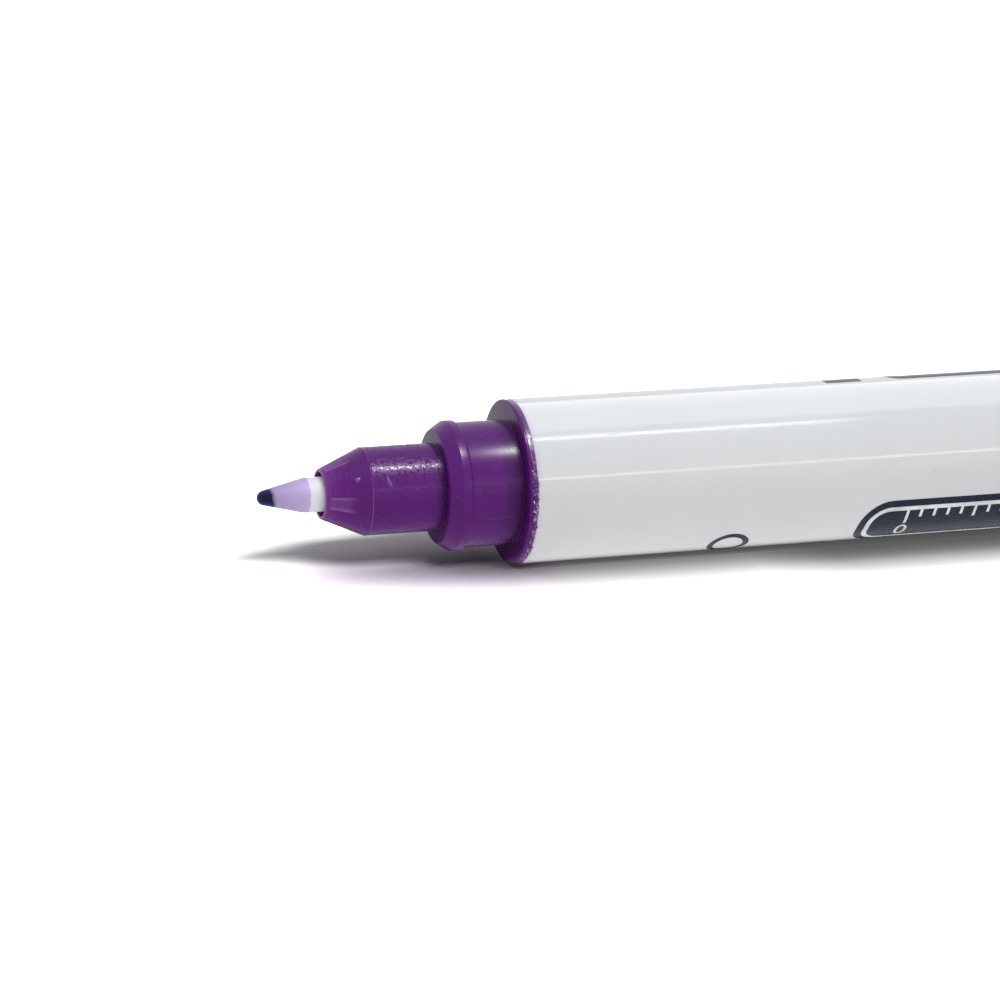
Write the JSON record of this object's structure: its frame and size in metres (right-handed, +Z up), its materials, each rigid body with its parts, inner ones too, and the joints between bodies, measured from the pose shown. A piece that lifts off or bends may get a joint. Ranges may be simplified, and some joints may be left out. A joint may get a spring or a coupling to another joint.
{
  "type": "surgical skin marker",
  "caption": "Round twin-tip skin marker lying on its side: fine tip bare, broad tip capped, fine cap posted on the broad cap; the caps pull off along the axis.",
  "frame": {"origin": "centre of the marker's length, on the table under its axis", "axes": "+X along the marker from the fine tip to the posted cap, +Z up from the table"},
  "size_m": [0.1542, 0.011, 0.0109],
  "materials": {
    "barrel_white": "glossy white moulded plastic with navy print",
    "holder_purple": "semi-gloss purple moulded plastic",
    "cap_purple": "glossy purple moulded plastic",
    "liner_natural": "natural milky plastic",
    "nib_white": "white porous nib, stained violet on its ground cone",
    "nib_felt": "ink-soaked pressed fibre",
    "reservoir_fibre": "ink-soaked fibre bundle",
    "reservoir_wrap": "thin clear film"
  },
  "bodies": {
    "marker": {"barrel": "barrel_white", "ink_reservoir": "reservoir_fibre", "reservoir_film": "reservoir_wrap", "fine_tip_holder": "holder_purple", "fine_nib": "nib_white", "broad_tip_holder": "holder_purple", "broad_nib": "nib_felt"},
    "broad_cap": {"broad_cap_shell": "cap_purple", "broad_cap_liner": "liner_natural"},
    "fine_cap": {"fine_cap_shell": "cap_purple", "fine_cap_liner": "liner_natural"}
  },
  "joints": [
    {"name": "broad_cap_pull", "type": "slide", "parent": "marker", "child": "broad_cap", "axis": [1, 0, 0], "range_m": [0, 0.022]},
    {"name": "fine_cap_pull", "type": "slide", "parent": "broad_cap", "child": "fine_cap", "axis": [1, 0, 0], "range_m": [0, 0.01]}
  ]
}
